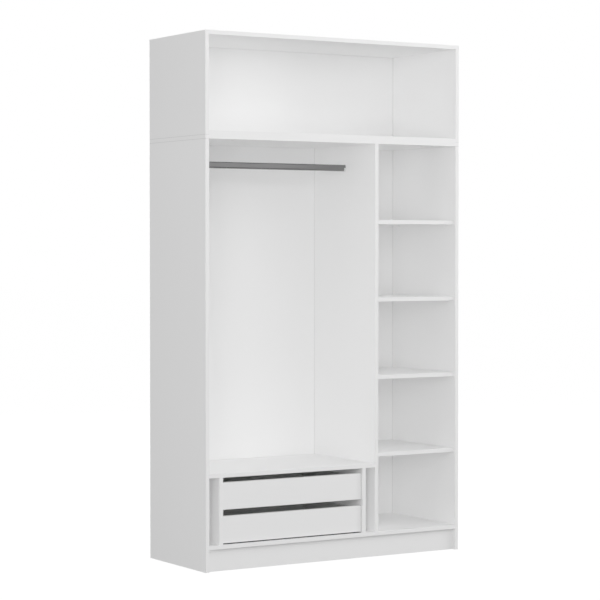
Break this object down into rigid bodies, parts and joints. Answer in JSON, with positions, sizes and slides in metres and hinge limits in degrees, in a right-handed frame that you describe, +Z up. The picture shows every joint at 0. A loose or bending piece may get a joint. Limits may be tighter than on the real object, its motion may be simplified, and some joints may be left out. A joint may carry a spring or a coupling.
{
  "type": "wardrobe",
  "caption": "Tall open wardrobe of white boards: a top box over a hanging bay with a rail, a bay of shelves, and inset drawers on telescopic runners.",
  "frame": {"origin": "floor level, at the middle of the width and the depth", "axes": "+Z up, +X to the right of a person facing the open front, +Y towards the wall behind; the front faces -Y"},
  "size_m": [1.35, 0.52, 2.35],
  "materials": {
    "white_melamine": "white melamine-faced board with matching edge bands, satin",
    "white_hdf": "thin white-lacquered fibreboard, satin",
    "grey_melamine": "grey melamine-faced board with matching edge bands, satin",
    "grey_hdf": "thin grey-lacquered fibreboard, satin",
    "white_nylon": "moulded white nylon",
    "rail_steel": "grey satin steel tube",
    "socket_zinc": "white-painted zinc casting",
    "runner_steel": "zinc-plated rolled steel",
    "cam_zinc": "bare zinc casting",
    "plated_steel": "zinc-plated steel",
    "beech": "raw beech"
  },
  "bodies": {
    "carcass": {"lower_left_side": "white_melamine", "lower_right_side": "white_melamine", "partition": "white_melamine", "bottom_board": "white_melamine", "lower_top_board": "white_melamine", "front_plinth": "white_melamine", "rear_plinth": "white_melamine", "lower_left_back": "white_hdf", "lower_right_back": "white_hdf", "upper_left_side": "white_melamine", "upper_right_side": "white_melamine", "upper_bottom_board": "white_melamine", "upper_top_board": "white_melamine", "upper_back": "white_hdf", "shelf_1": "white_melamine", "shelf_2": "white_melamine", "shelf_3": "white_melamine", "shelf_4": "white_melamine", "shelf_pins": "white_nylon", "drawer_bay_top": "white_melamine", "left_spacer": "white_melamine", "right_spacer": "white_melamine", "hanging_rail": "rail_steel", "left_rail_socket": "socket_zinc", "right_rail_socket": "socket_zinc", "cam_locks": "cam_zinc", "cam_bolts": "plated_steel", "dowels": "beech", "confirmat_screws": "plated_steel", "unit_connectors": "plated_steel", "panel_screws": "plated_steel", "back_nails": "plated_steel", "lower_left_runner_outer": "runner_steel", "lower_right_runner_outer": "runner_steel", "upper_left_runner_outer": "runner_steel", "upper_right_runner_outer": "runner_steel"},
    "lower_drawer": {"lower_drawer_front": "white_melamine", "lower_drawer_left_side": "grey_melamine", "lower_drawer_right_side": "grey_melamine", "lower_drawer_back": "grey_melamine", "lower_drawer_bottom": "grey_hdf", "lower_drawer_cam_locks": "cam_zinc", "lower_drawer_cam_bolts": "plated_steel", "lower_drawer_screws": "plated_steel", "lower_left_runner_inner": "runner_steel", "lower_right_runner_inner": "runner_steel"},
    "lower_runner_middles": {"lower_left_runner_middle": "runner_steel", "lower_right_runner_middle": "runner_steel"},
    "upper_drawer": {"upper_drawer_front": "white_melamine", "upper_drawer_left_side": "grey_melamine", "upper_drawer_right_side": "grey_melamine", "upper_drawer_back": "grey_melamine", "upper_drawer_bottom": "grey_hdf", "upper_drawer_cam_locks": "cam_zinc", "upper_drawer_cam_bolts": "plated_steel", "upper_drawer_screws": "plated_steel", "upper_left_runner_inner": "runner_steel", "upper_right_runner_inner": "runner_steel"},
    "upper_runner_middles": {"upper_left_runner_middle": "runner_steel", "upper_right_runner_middle": "runner_steel"}
  },
  "joints": [
    {"name": "lower_drawer_slide", "type": "slide", "parent": "carcass", "child": "lower_drawer", "axis": [0, -1, 0], "range_m": [0, 0.43]},
    {"name": "lower_runner_slide", "type": "slide", "parent": "carcass", "child": "lower_runner_middles", "axis": [0, -1, 0], "range_m": [0, 0.215]},
    {"name": "upper_drawer_slide", "type": "slide", "parent": "carcass", "child": "upper_drawer", "axis": [0, -1, 0], "range_m": [0, 0.43]},
    {"name": "upper_runner_slide", "type": "slide", "parent": "carcass", "child": "upper_runner_middles", "axis": [0, -1, 0], "range_m": [0, 0.215]}
  ],
  "couplings": [
    {"joint": "lower_runner_slide", "follows": "lower_drawer_slide", "ratio": 0.5},
    {"joint": "upper_runner_slide", "follows": "upper_drawer_slide", "ratio": 0.5}
  ]
}
